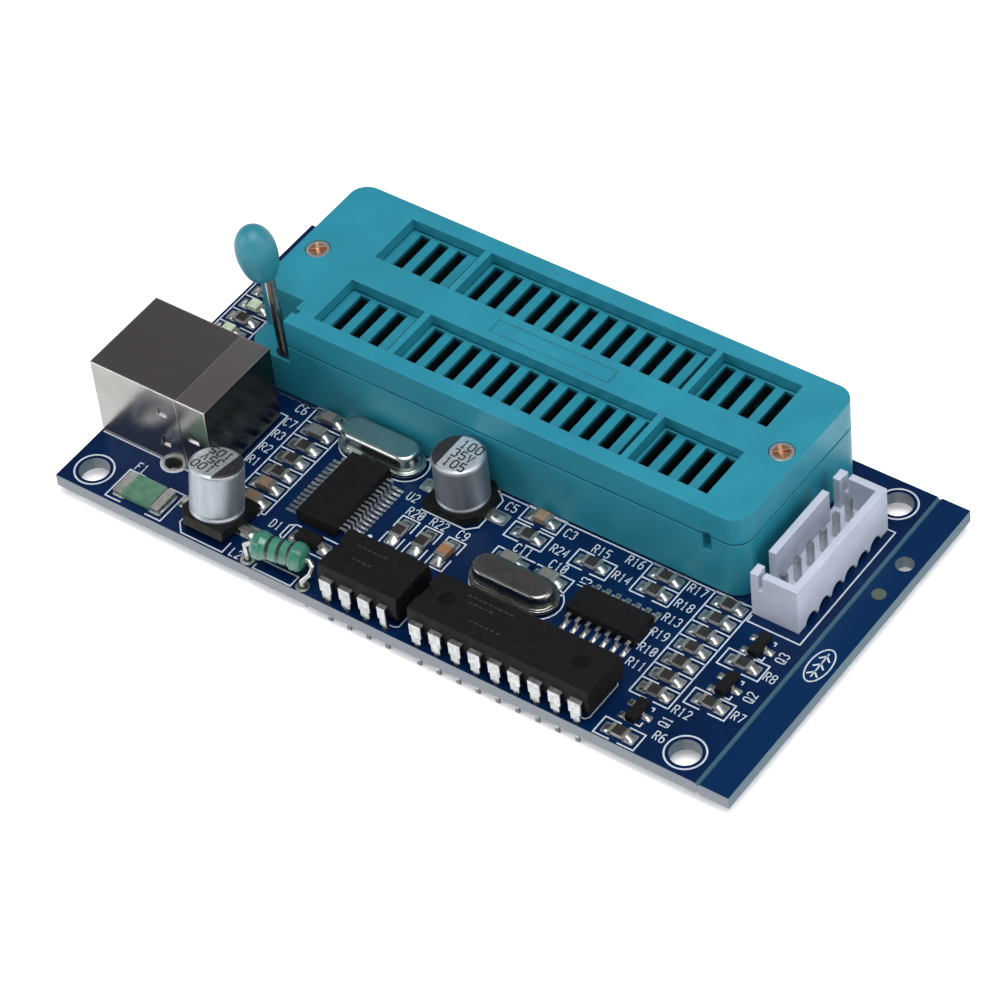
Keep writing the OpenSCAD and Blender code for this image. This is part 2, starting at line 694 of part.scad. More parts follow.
module chip_capacitor_bodies() {
    on_board() color([0.66, 0.52, 0.36]) at_chips(cap_list) chip_core(2.1, 1.35, 0.9);
}

module chip_capacitor_ends() {
    on_board() color([0.8, 0.8, 0.8]) at_chips(cap_list) chip_ends(2.1, 1.35, 0.85);
}

module lamp_bodies() {
    on_board() color([0.75, 0.85, 0.7]) at_chips(lamp_list) chip_core(2.1, 1.3, 0.75);
}

module lamp_ends() {
    on_board() color([0.8, 0.8, 0.75]) at_chips(lamp_list) chip_ends(2.1, 1.3, 0.35);
}

circuit_board();
usb_shell();
usb_insulator();
usb_contacts();
socket_base();
socket_cover();
socket_slider();
socket_contacts_front();
socket_contacts_rear();
socket_screws();
lever_shaft();
lever_knob();
header_housing();
header_pins();
long_chip_body();
long_chip_leads();
short_chip_body();
short_chip_leads();
bridge_chip_body();
bridge_chip_leads();
driver_chip_body();
driver_chip_leads();
crystal_cans();
crystal_bases();
crystal_leads();
capacitor_cans();
capacitor_bases();
capacitor_tabs();
coil_body();
coil_leads();
fuse_body();
fuse_ends();
diode_body();
diode_leads();
resistor_bodies();
resistor_ends();
chip_capacitor_bodies();
chip_capacitor_ends();
transistor_bodies();
transistor_leads();
lamp_bodies();
lamp_ends();
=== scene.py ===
"""Looks of the USB microcontroller programmer: materials, silkscreen, solder, printing, light and camera."""

import json
import math

import bmesh
import bpy
from mathutils import Matrix, Vector


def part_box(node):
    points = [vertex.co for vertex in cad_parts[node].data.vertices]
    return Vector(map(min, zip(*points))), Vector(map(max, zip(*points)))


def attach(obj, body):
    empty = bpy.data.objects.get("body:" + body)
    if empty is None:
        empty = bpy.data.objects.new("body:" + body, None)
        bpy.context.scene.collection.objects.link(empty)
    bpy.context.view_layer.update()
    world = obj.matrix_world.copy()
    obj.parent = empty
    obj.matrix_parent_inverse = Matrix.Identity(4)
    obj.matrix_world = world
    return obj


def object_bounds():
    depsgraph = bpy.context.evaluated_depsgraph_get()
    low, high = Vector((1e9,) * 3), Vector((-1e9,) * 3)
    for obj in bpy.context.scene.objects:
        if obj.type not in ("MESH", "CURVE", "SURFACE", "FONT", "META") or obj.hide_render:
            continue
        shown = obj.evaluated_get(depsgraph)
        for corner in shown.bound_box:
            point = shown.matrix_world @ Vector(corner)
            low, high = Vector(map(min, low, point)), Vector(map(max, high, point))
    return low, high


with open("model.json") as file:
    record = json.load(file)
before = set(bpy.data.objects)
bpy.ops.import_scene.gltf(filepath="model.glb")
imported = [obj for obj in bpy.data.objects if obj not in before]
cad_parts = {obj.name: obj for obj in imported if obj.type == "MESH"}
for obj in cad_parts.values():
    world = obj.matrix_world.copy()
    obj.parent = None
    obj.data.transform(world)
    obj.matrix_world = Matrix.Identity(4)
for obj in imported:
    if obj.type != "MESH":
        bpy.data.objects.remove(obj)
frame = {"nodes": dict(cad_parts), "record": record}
cad_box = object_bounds()
NODES = frame["nodes"]
MM = 0.001

# Board coordinates: millimetres from the board's front left corner, z up from its top face.
board_lo, board_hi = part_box("circuit_board")
BOARD_T = (board_hi.z - board_lo.z) / MM


def at(x, y, z=0.0):
    return Vector((board_lo.x + x * MM, board_lo.y + y * MM, board_hi.z + z * MM))


def board_box(node):
    """A CAD node's box in board coordinates."""
    lo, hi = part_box(node)
    shift = Vector((board_lo.x, board_lo.y, board_hi.z))
    return (lo - shift) / MM, (hi - shift) / MM


# Bottom and top of the silkscreen's ink.
SILK = (0.0, 0.02)
# Middles of holes and parts, leads to a side, and heights.
HOLE_XS = (3.2, 81.3)
HOLE_YS = (2.85, 43.65)
TRANSISTORS = ((74.2, 4.65), (80.05, 12.45), (80.0, 18.7))
CRYSTALS = ((29.3, 21.05), (53.35, 12.1))
FUSE = (10.5, 2.68)
DIODE = (30.4, 6.35)
FINE_CHIP, FINE_PITCH, FINE_SIDE = (29.85, 13.4), 0.65, 14
FLAT_CHIP, FLAT_PITCH, FLAT_SIDE = (64.5, 13.85), 1.27, 7
COIL_HOLES = ((26.1, 0.95), (33.6, 0.85))
SHELL_TAB_X = 10.2
SHELL_TAB_YS = (8.35, 19.65)
PITCH = 2.54
EJECTOR_Z = 4.4
CHIP_TOP = 4.5


# ---- camera, light, floor ----
# Angles in degrees, lengths in millimetres.
CAMERA_AZIMUTH, CAMERA_ELEVATION, CAMERA_ROLL = 40.28, 45.88, -6.69
CAMERA_DISTANCE = 473.57
CAMERA_LENS = 157.96
SENSOR_WIDTH = 36.0
# Name, place from the board's middle and size in metres, power, colour.
LIGHTS = (
    ("key", (0.12, -0.10, 0.62), (0.5, 0.5), 4.2, (1, 1, 1)),
    ("left", (-0.45, -0.42, 0.30), (0.35, 0.35), 1.5, (0.96, 0.98, 1)),
    ("right", (0.62, 0.10, 0.34), (0.3, 0.4), 1.3, (1, 1, 1)),
)
FLOOR_HALF = 3.0
FLOOR_GLOW = 0.3


def aim(obj, place, target):
    turn = (target - place).to_track_quat("-Z", "Y").to_matrix().to_4x4()
    obj.matrix_world = Matrix.Translation(place) @ turn


def make_camera():
    az, el, roll = (math.radians(a) for a in (CAMERA_AZIMUTH, CAMERA_ELEVATION, CAMERA_ROLL))
    target = at(44.31, 22.14)
    back = Vector((math.sin(az) * math.cos(el), -math.cos(az) * math.cos(el), math.sin(el)))
    data = bpy.data.cameras.new("camera")
    data.sensor_width = SENSOR_WIDTH
    data.lens = CAMERA_LENS
    data.clip_start = 0.01
    data.clip_end = 10.0
    cam = bpy.data.objects.new("camera", data)
    bpy.context.scene.collection.objects.link(cam)
    right = Vector((math.cos(az), math.sin(az), 0.0))
    up = back.cross(right)
    r = right * math.cos(roll) + up * math.sin(roll)
    u = up * math.cos(roll) - right * math.sin(roll)
    turn = Matrix((r, u, back)).transposed().to_4x4()
    cam.matrix_world = Matrix.Translation(target + back * CAMERA_DISTANCE * MM) @ turn
    bpy.context.scene.camera = cam


def area_light(name, place, target, size, power, colour):
    data = bpy.data.lights.new(name, "AREA")
    data.shape = "RECTANGLE"
    data.size, data.size_y = size
    data.energy = power
    data.color = colour
    obj = bpy.data.objects.new(name, data)
    bpy.context.scene.collection.objects.link(obj)
    aim(obj, place, target)


def make_world():
    """A grey sky that brightens towards the horizon."""
    world = bpy.data.worlds.new("studio")
    bpy.context.scene.world = world
    world.use_nodes = True
    t = world.node_tree
    background = t.nodes["Background"]
    coord = t.nodes.new("ShaderNodeTexCoord")
    split = t.nodes.new("ShaderNodeSeparateXYZ")
    ramp = t.nodes.new("ShaderNodeValToRGB")
    t.links.new(coord.outputs["Generated"], split.inputs[0])
    t.links.new(split.outputs["Z"], ramp.inputs["Fac"])
    t.links.new(ramp.outputs["Color"], background.inputs["Color"])
    horizon, sky = ramp.color_ramp.elements
    horizon.position = 0.0
    horizon.color = (0.9, 0.92, 0.95, 1)
    sky.position = 0.45
    sky.color = (0.16, 0.16, 0.165, 1)
    background.inputs["Strength"].default_value = 1.0


def make_stage():
    middle = at(44, 22)
    for name, place, size, power, colour in LIGHTS:
        area_light(name, middle + Vector(place), middle, size, power, colour)

    floor = bpy.data.meshes.new("floor")
    z = cad_box[0][2]
    corners = [(sx * FLOOR_HALF, sy * FLOOR_HALF, z) for sx, sy in ((-1, -1), (1, -1), (1, 1), (-1, 1))]
    floor.from_pydata(corners, [], [(0, 1, 2, 3)])
    obj = bpy.data.objects.new("floor", floor)
    bpy.context.scene.collection.objects.link(obj)
    paper = Surface("floor_paper", (0.93, 0.93, 0.935), (0.96, 0.96, 0.965), grain=40, rough=(0.8, 0.9),
                    edge=0)
    paper.shader.inputs["Emission Color"].default_value = (1, 1, 1, 1)
    paper.shader.inputs["Emission Strength"].default_value = FLOOR_GLOW
    floor.materials.append(paper.material)
    bpy.context.scene.view_settings.view_transform = "Standard"


# ---- materials ----
class Surface:
    """A procedural finish: mottled colour, varied roughness, fine bump, softened edges with a painted
    highlight that makes them paler.
    """

    MOTTLE_DARK, MOTTLE_LIGHT = 0.32, 0.68
    PATCH_SCALE = 0.31
    PATCH_LOW, PATCH_HIGH = 0.3, 0.7
    EDGE_FULL_HIGHLIGHT = 0.86
    BUMP_STRENGTH = 0.5

    def __init__(
        self, name, dark, light, grain=700, rough=(0.35, 0.5), metal=0.0, bump=0.02,
        bump_grain=5000, edge=0.07, edge_highlight=0.25, stretch=(1, 1, 1), coat=0.0, spec=0.5,
    ):
        """dark and light are the mottle's colours and grain its scale; bump and edge are in millimetres."""
        self.material = m = bpy.data.materials.new(name)
        m.use_nodes = True
        self.tree = m.node_tree
        self.shader = self.tree.nodes["Principled BSDF"]
        coord = self.node("TexCoord")
        self.coord = self.node("Mapping", {"Vector": coord.outputs["Object"], "Scale": stretch}).outputs[0]
        self.object_coord = coord.outputs["Object"]
        self.object_normal = coord.outputs["Normal"]
        cloud = self.noise(grain, 5.0)
        self.colour = self.ramp(cloud, [(self.MOTTLE_DARK, dark), (self.MOTTLE_LIGHT, light)])
        patch = self.noise(grain * self.PATCH_SCALE, 3.0)
        self.rough = self.map_range(patch, self.PATCH_LOW, self.PATCH_HIGH, *rough)
        normal = self.node("NewGeometry").outputs["Normal"]
        if edge:
            soft = self.node("Bevel", {"Radius": edge * MM})
            soft.samples = 6
            soft_normal = soft.outputs[0]
            # painted highlight: where the bevelled normal leans away from the face, the colour is mixed
            # towards a paler tone
            facing = self.node("VectorMath", {0: soft_normal, 1: normal}, operation="DOT_PRODUCT")
            highlight_mask = self.map_range(facing.outputs["Value"], 1.0, self.EDGE_FULL_HIGHLIGHT, 0.0, edge_highlight)
            pale = tuple(min(1.0, c * 1.5 + 0.05) for c in light)
            self.colour = self.mix(highlight_mask, self.colour, pale)
            normal = soft_normal
        grit = self.noise(bump_grain, 3.0)
        self.normal = self.node(
            "Bump",
            {"Height": grit, "Strength": self.BUMP_STRENGTH, "Distance": bump * MM, "Normal": normal},
        ).outputs[0]
        self.shader.inputs["Metallic"].default_value = metal
        self.shader.inputs["Specular IOR Level"].default_value = spec
        self.shader.inputs["Coat Weight"].default_value = coat
        self.wire()

    def wire(self):
        link = self.tree.links.new
        link(self.colour, self.shader.inputs["Base Color"])
        link(self.rough, self.shader.inputs["Roughness"])
        link(self.normal, self.shader.inputs["Normal"])
        return self

    def node(self, kind, inputs=(), **props):
        n = self.tree.nodes.new("ShaderNode" + kind)
        for key, value in props.items():
            setattr(n, key, value)
        for key, value in dict(inputs).items():
            if isinstance(value, bpy.types.NodeSocket):
                self.tree.links.new(value, n.inputs[key])
            else:
                n.inputs[key].default_value = value
        return n

    def map_range(self, value, low, high, to_low, to_high):
        return self.node(
            "MapRange",
            {"Value": value, "From Min": low, "From Max": high, "To Min": to_low, "To Max": to_high},
        ).outputs[0]

    def noise(self, scale, detail=3.0):
        return self.node(
            "TexNoise", {"Vector": self.coord, "Scale": scale, "Detail": detail, "Roughness": 0.55}
        ).outputs["Fac"]

    def ramp(self, value, stops):
        """A ramp between two colours, each given with its position."""
        n = self.node("ValToRGB", {"Fac": value})
        for element, (position, colour) in zip(n.color_ramp.elements, stops):
            element.position = position
            element.color = (*colour, 1)
        return n.outputs["Color"]

    def mix(self, factor, a, b):
        n = self.node("Mix", data_type="RGBA")
        for socket, value in ((n.inputs[0], factor), (n.inputs[6], a), (n.inputs[7], b)):
            if isinstance(value, bpy.types.NodeSocket):
                self.tree.links.new(value, socket)
            elif isinstance(value, tuple):
                socket.default_value = (*value, 1)
            else:
                socket.default_value = value
        return n.outputs[2]

    def math(self, operation, a, b=0.0):
        return self.node("Math", {0: a, 1: b}, operation=operation).outputs[0]

    def axes(self, vector=None):
        """The coordinate's x, y and z sockets."""
        return self.node("SeparateXYZ", {0: vector or self.object_coord}).outputs

    def step(self, value, low, high):
        """0 below low, 1 above high, smooth in between."""
        return self.node(
            "MapRange", {"Value": value, "From Min": low, "From Max": high}, interpolation_type="SMOOTHSTEP"
        ).outputs[0]

    def fade(self, value, low, high):
        """1 below low, 0 above high, smooth in between."""
        return self.math("SUBTRACT", 1.0, self.step(value, low, high))

    def away(self, value, middle):
        """How far a value is from the middle, on either side."""
        return self.math("ABSOLUTE", self.math("SUBTRACT", value, middle))


GROOVE_X = 84.6


def mask_surface():
    """Blue solder mask on the faces, glass-fibre laminate on the cut edges and in the holes."""
    s = Surface("solder_mask", (0.0009, 0.0098, 0.044), (0.0015, 0.0148, 0.061), grain=260, rough=(0.16, 0.24),
                bump=0.012, bump_grain=1600, edge=0.05, edge_highlight=0.1, spec=0.18)
    x = s.axes()[0]
    # the break-off strip is a little paler, and the scored groove beside it is paler still
    strip = s.step(x, at(84.3, 0).x, at(84.7, 0).x)
    s.colour = s.mix(strip, s.colour, (0.0012, 0.0195, 0.073))
    groove = s.fade(s.away(x, at(GROOVE_X, 0).x), 0.00018, 0.00030)
    s.colour = s.mix(groove, s.colour, (0.055, 0.13, 0.18))
    layers = {"Vector": s.coord, "Scale": 900.0, "Distortion": 1.2, "Detail": 2.0}
    lines = s.node("TexWave", layers, bands_direction="Z")
    fibre = s.ramp(lines.outputs["Fac"], [(0.2, (0.19, 0.205, 0.24)), (0.8, (0.29, 0.31, 0.35))])
    side = s.math("LESS_THAN", s.math("ABSOLUTE", s.axes(s.object_normal)[2]), 0.5)
    mottled = s.mix(s.noise(3000, 4.0), fibre, (0.22, 0.24, 0.26))
    # painted shade: the cut edges that face the +X end are darkened
    right_end_shade = s.step(s.axes(s.object_normal)[0], 0.5, 0.8)
    mottled = s.mix(right_end_shade, mottled, (0.12, 0.175, 0.21))
    s.colour = s.mix(side, s.colour, mottled)
    s.rough = s.mix(side, s.rough, (0.7, 0.7, 0.7))
    return s.wire()


def teal_surface(name, dark, light):
    """Teal moulding; the deep inside of the contact openings is shaded dark."""
    s = Surface(name, dark, light, grain=180, rough=(0.34, 0.46), bump=0.02, bump_grain=2600, edge=0.14,
                edge_highlight=0.3)
    x, y, z = s.axes()
    lo, hi = board_box("socket_base")
    soft = 0.3 * MM
    deep = s.fade(z, at(0, 0, 9.2).z, at(0, 0, 9.9).z)
    spans = (
        (x, at(lo.x + 7.6, 0).x, at(hi.x - 4.2, 0).x),
        (y, at(0, lo.y + 1.2).y, at(0, hi.y - 1.2).y),
    )
    for value, low, high in spans:
        inside = s.math("MULTIPLY", s.step(value, low, low + soft), s.fade(value, high - soft, high))
        deep = s.math("MULTIPLY", deep, inside)
    s.colour = s.mix(deep, s.colour, (0.003, 0.010, 0.013))
    return s.wire()


def nickel_surface():
    """Bright receptacle shell: a browner painted reflection on top, paler towards the rear, and painted shade
    on the end that faces the board.
    """
    s = metal_surface("nickel", (0.33, 0.32, 0.305), (0.42, 0.41, 0.395), (0.17, 0.26), grain=130,
                      bump=0.05, bump_grain=260, edge=0.3, edge_highlight=1.0)
    nx, _, nz = s.axes(s.object_normal)
    rear = s.step(s.axes()[0], at(12.05, 0).x, at(12.1, 0).x)
    # painted reflection on the upward faces, darker at the front and paler towards the rear
    top = s.mix(rear, (0.36, 0.335, 0.315), (0.56, 0.51, 0.49))
    s.colour = s.mix(s.step(nz, 0.9, 0.98), s.colour, top)
    # painted shade on the faces that point +X, at the end that faces the board
    s.colour = s.mix(s.step(nx, 0.9, 0.98), s.colour, (0.075, 0.085, 0.085))
    return s.wire()


def can_surface():
    """Satin side, brighter finely grained top."""
    s = metal_surface("can_aluminium", (0.36, 0.39, 0.43), (0.43, 0.46, 0.50), (0.46, 0.54),
                      stretch=(1, 1, 0.05), grain=1500, bump=0.006, edge=0.12, edge_highlight=0.9)
    top = s.step(s.axes(s.object_normal)[2], 0.9, 0.96)
    grain = s.ramp(s.noise(5200, 2.0), [(0.3, (0.60, 0.64, 0.68)), (0.7, (0.86, 0.90, 0.94))])
    s.colour = s.mix(top, s.colour, grain)
    return s.wire()


def screw_surface():
    """Copper-toned screw heads with a bright rim."""
    s = metal_surface("screw_metal", (0.55, 0.30, 0.17), (0.95, 0.66, 0.46), (0.28, 0.4), grain=1400,
                      bump=0.02, bump_grain=5000, edge=0.05, edge_highlight=0.25)
    x, y, _ = s.axes()
    lo, hi = board_box("socket_screws")
    head_r = 1.35
    middle = (lo.x + hi.x) / 2
    half = (hi.x - lo.x) / 2 - head_r
    dx = s.math("SUBTRACT", s.away(x, at(middle, 0).x), half * MM)
    dy = s.math("SUBTRACT", y, at(0, (lo.y + hi.y) / 2).y)
    radius = s.math("SQRT", s.math("ADD", s.math("MULTIPLY", dx, dx), s.math("MULTIPLY", dy, dy)))
    s.colour = s.mix(s.step(radius, 0.0009, 0.0011), s.colour, (0.95, 0.93, 0.91))
    return s.wire()


COIL_YAW = 9


def coil_surface():
    """Green lacquer with three dark bands round the coil's axis."""
    s = Surface("coil_green", (0.026, 0.14, 0.098), (0.05, 0.21, 0.15), grain=500, rough=(0.18, 0.3),
                bump=0.03, bump_grain=1500, edge=0, coat=0.4)
    yaw = math.radians(COIL_YAW)
    lo, hi = board_box("coil_body")
    centre = at((lo.x + hi.x) / 2, (lo.y + hi.y) / 2)
    x, y, _ = s.axes()
    along = s.math(
        "ADD",
        s.math("MULTIPLY", s.math("SUBTRACT", x, centre.x), math.cos(yaw)),
        s.math("MULTIPLY", s.math("SUBTRACT", y, centre.y), math.sin(yaw)),
    )
    wavy = s.math("ADD", along, s.math("MULTIPLY", s.noise(900), 0.00022))
    for place in (-0.95, 0.35, 1.6):
        away = s.away(wavy, (place + 0.11) * MM)
        s.colour = s.mix(s.fade(away, 0.00016, 0.00026), s.colour, (0.012, 0.022, 0.02))
    return s.wire()


def chip_surface(name, dark=(0.0035, 0.0035, 0.0037), light=(0.0075, 0.0072, 0.0075), rough=(0.5, 0.64)):
    """Moulded black; the round ejector marks sunk in the tall chips' tops are darker."""
    s = Surface(name, dark, light, grain=1500, rough=rough, bump=0.05, bump_grain=6500, edge=0.08, edge_highlight=0.12,
                spec=0.15)
    sunk = s.math("LESS_THAN", s.away(s.axes()[2], at(0, 0, EJECTOR_Z).z), 0.03 * MM)
    s.colour = s.mix(sunk, s.colour, (0.0015, 0.0015, 0.0015))
    return s.wire()


def metal_surface(
    name, dark, light, rough, stretch=(1, 1, 1), grain=900, bump=0.01, bump_grain=3000, edge=0.06, edge_highlight=0.2,
):
    return Surface(name, dark, light, grain=grain, rough=rough, metal=1.0, bump=bump, bump_grain=bump_grain,
                   edge=edge, edge_highlight=edge_highlight, stretch=stretch)


def lead_surface():
    """Tinned chip leads, darker where the tails stand out below the board."""
    s = metal_surface("lead_tin", (0.36, 0.37, 0.37), (0.62, 0.63, 0.63), (0.3, 0.45), grain=1600, bump=0.02)
    tail = s.math("LESS_THAN", s.axes()[2], at(0, 0, -BOARD_T).z)
    s.colour = s.mix(tail, s.colour, (0.20, 0.21, 0.23))
    return s.wire()


def resistor_surface():
    """Black glass top, pale ceramic sides."""
    s = Surface("resistor_black", (0.012, 0.011, 0.011), (0.028, 0.024, 0.022), grain=2500, rough=(0.3, 0.45),
                edge=0.04)
    side = s.math("LESS_THAN", s.axes(s.object_normal)[2], 0.5)
    s.colour = s.mix(side, s.colour, (0.42, 0.40, 0.37))
    return s.wire()


def ceramic_surface():
    """Ceramic chip capacitors, each in its own brown or grey."""
    s = Surface("ceramic_tan", (0.21, 0.145, 0.085), (0.27, 0.19, 0.115), grain=1200, rough=(0.4, 0.55),
                edge=0.06)
    x, y, _ = s.axes()
    left = s.math("LESS_THAN", x, at(23, 0).x)
    high = s.math("GREATER_THAN", y, at(0, 15).y)
    s.colour = s.mix(s.math("MULTIPLY", left, high), s.colour, (0.13, 0.135, 0.14))
    s.colour = s.mix(s.math("MULTIPLY", left, s.math("SUBTRACT", 1.0, high)), s.colour, (0.17, 0.115, 0.075))
    orange = s.math("LESS_THAN", s.away(x, at(43.9, 0).x), 0.0012)
    s.colour = s.mix(orange, s.colour, (0.26, 0.125, 0.055))
    pale = s.math("LESS_THAN", s.away(x, at(53, 0).x), 0.0035)
    low = s.math("SUBTRACT", 1.0, s.math("GREATER_THAN", y, at(0, 18).y))
    s.colour = s.mix(s.math("MULTIPLY", pale, low), s.colour, (0.14, 0.14, 0.12))
    return s.wire()


def crystal_surface():
    """Drawn cans; the left one has a paler, greenish painted reflection mixed into its colour."""
    s = metal_surface("crystal_can", (0.22, 0.22, 0.205), (0.32, 0.32, 0.30), (0.2, 0.3), grain=500, edge=0.16,
                      edge_highlight=1.0)
    # painted reflection: the left can's colour is lifted to a pale greenish tone
    left = s.math("LESS_THAN", s.axes()[0], at(40, 0).x)
    left_reflection = s.mix(s.noise(420, 4.0), (0.40, 0.47, 0.44), (0.66, 0.72, 0.69))
    s.colour = s.mix(left, s.colour, left_reflection)
    return s.wire()


MATERIALS = {}


def make_materials():
    """One finish for each material slot, and one for each kind of ink and solder."""
    MATERIALS.update({
        "board": mask_surface(),
        "nickel": nickel_surface(),
        "insulator": Surface("insulator", (0.012, 0.012, 0.013), (0.022, 0.022, 0.024), grain=900,
                             rough=(0.4, 0.55)),
        "gold": metal_surface("gold", (0.62, 0.43, 0.16), (0.80, 0.60, 0.27), (0.2, 0.35)),
        "socket_plastic": teal_surface("socket_plastic", (0.013, 0.20, 0.28), (0.017, 0.235, 0.325)),
        "slider_plastic": teal_surface("slider_plastic", (0.013, 0.20, 0.275), (0.018, 0.23, 0.315)),
        "contact_metal": metal_surface("contact_metal", (0.035, 0.034, 0.032), (0.07, 0.066, 0.06),
                                       (0.4, 0.55)),
        "screw_metal": screw_surface(),
        "lever_steel": metal_surface("lever_steel", (0.34, 0.31, 0.27), (0.52, 0.48, 0.43), (0.18, 0.34),
                                     grain=1500, bump=0.03, bump_grain=2500, stretch=(1, 1, 0.15)),
        "knob_plastic": teal_surface("knob_plastic", (0.012, 0.165, 0.22), (0.016, 0.20, 0.265)),
        "white_plastic": Surface("white_plastic", (0.44, 0.475, 0.575), (0.51, 0.55, 0.655), grain=300,
                                 rough=(0.35, 0.5), bump=0.02, bump_grain=3000, edge=0.16, edge_highlight=0.3),
        "tin": metal_surface("tin", (0.42, 0.43, 0.40), (0.62, 0.63, 0.60), (0.3, 0.45), grain=1800,
                             bump=0.03),
        "lead_tin": lead_surface(),
        "chip_black": chip_surface("chip_black"),
        "crystal_can": crystal_surface(),
        "can_aluminium": can_surface(),
        "black_plastic": chip_surface("black_plastic", (0.0035, 0.0035, 0.0035), (0.008, 0.008, 0.008),
                                      (0.42, 0.55)),
        "coil_green": coil_surface(),
        "fuse_green": Surface("fuse_green", (0.05, 0.14, 0.085), (0.095, 0.21, 0.14), grain=900,
                              rough=(0.3, 0.42), bump=0.04, bump_grain=1800, edge=0.1, edge_highlight=0.35),
        "resistor_black": resistor_surface(),
        "ceramic_tan": ceramic_surface(),
        "lamp_lens": Surface("lamp_lens", (0.42, 0.52, 0.36), (0.58, 0.66, 0.50), grain=1100,
                             rough=(0.15, 0.25)),
        "silk": Surface("silk_ink", (0.42, 0.47, 0.53), (0.56, 0.60, 0.66), grain=1900, rough=(0.5, 0.65),
                        edge=0),
        "print_black": Surface("print_black", (0.010, 0.010, 0.012), (0.02, 0.02, 0.024), grain=1800,
                               rough=(0.35, 0.5), edge=0),
        "etch_grey": Surface("etch_grey", (0.028, 0.027, 0.024), (0.045, 0.043, 0.038), grain=2600,
                             rough=(0.6, 0.7), edge=0),
        "solder": metal_surface("solder", (0.34, 0.35, 0.34), (0.60, 0.61, 0.59), (0.26, 0.42), grain=1500,
                                bump=0.05, bump_grain=1800, edge=0),
        "mark_olive": Surface("mark_olive", (0.055, 0.075, 0.055), (0.085, 0.11, 0.08), grain=1300,
                              rough=(0.4, 0.5), edge=0),
    })


def dress_nodes():
    for row in frame["record"]["subparts"]:
        obj = NODES.get(row["node"])
        if obj is None:
            continue
        s = MATERIALS[row["material_slot"]]
        if not obj.data.materials:
            obj.data.materials.append(s.material)
        for material_slot in obj.material_slots:
            material_slot.material = s.material


# ---- mesh building ----
def new_piece(name, bm, finish, smooth=False, body="board"):
    mesh = bpy.data.meshes.new(name)
    bmesh.ops.recalc_face_normals(bm, faces=bm.faces)
    bm.to_mesh(mesh)
    bm.free()
    mesh.materials.append(MATERIALS[finish].material)
    if smooth:
        mesh.polygons.foreach_set("use_smooth", [True] * len(mesh.polygons))
    obj = bpy.data.objects.new(name, mesh)
    bpy.context.scene.collection.objects.link(obj)
    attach(obj, body)
    return obj


def ribbon(bm, points, width, z0, z1, closed=False, place=at):
    """A flat band of even width along a line in the board's plane, with mitred corners."""
    parallel = 1e-4
    sharpest = 0.5
    pts = [Vector(p) for p in points]
    n = len(pts)
    left, right = [], []
    for i, p in enumerate(pts):
        before = (p - pts[i - 1]).normalized() if i or closed else None
        after = (pts[(i + 1) % n] - p).normalized() if i < n - 1 or closed else None
        before, after = before or after, after or before
        a, b = Vector((-before.y, before.x)), Vector((-after.y, after.x))
        m = (a + b).normalized() if (a + b).length > parallel else a
        m *= width / 2 / max(sharpest, m.dot(a))
        left.append(p + m)
        right.append(p - m)
    rings = [
        [bm.verts.new(place(q.x, q.y, z)) for q, z in ((l, z0), (l, z1), (r, z1), (r, z0))]
        for l, r in zip(left, right)
    ]
    for i in range(n if closed else n - 1):
        a, b = rings[i], rings[(i + 1) % n]
        for k in range(3):
            bm.faces.new((a[k], a[k + 1], b[k + 1], b[k]))
    if not closed:
        bm.faces.new(rings[0])
        bm.faces.new(rings[-1][::-1])


def circle(cx, cy, r, n=40, start=0.0, sweep=360.0, ry=None):
    """Points round a circle or, with ry, an oval; a part of one where sweep is under 360 degrees."""
    count = n if sweep >= 360 else n + 1
    angles = [math.radians(start + sweep * i / n) for i in range(count)]
    return [(cx + r * math.cos(a), cy + (ry or r) * math.sin(a)) for a in angles]


def disc(bm, cx, cy, r_in, r_out, z0, z1, n=32):
    """A flat ring, or a disc where r_in is 0."""
    if r_in > 0:
        ribbon(bm, circle(cx, cy, (r_in + r_out) / 2, n), r_out - r_in, z0, z1, closed=True)
        return
    low = [bm.verts.new(at(x, y, z0)) for x, y in circle(cx, cy, r_out, n)]
    top = [bm.verts.new(at(x, y, z1)) for x, y in circle(cx, cy, r_out, n)]
    bm.faces.new(top)
    for i in range(n):
        bm.faces.new((low[i], low[(i + 1) % n], top[(i + 1) % n], top[i]))


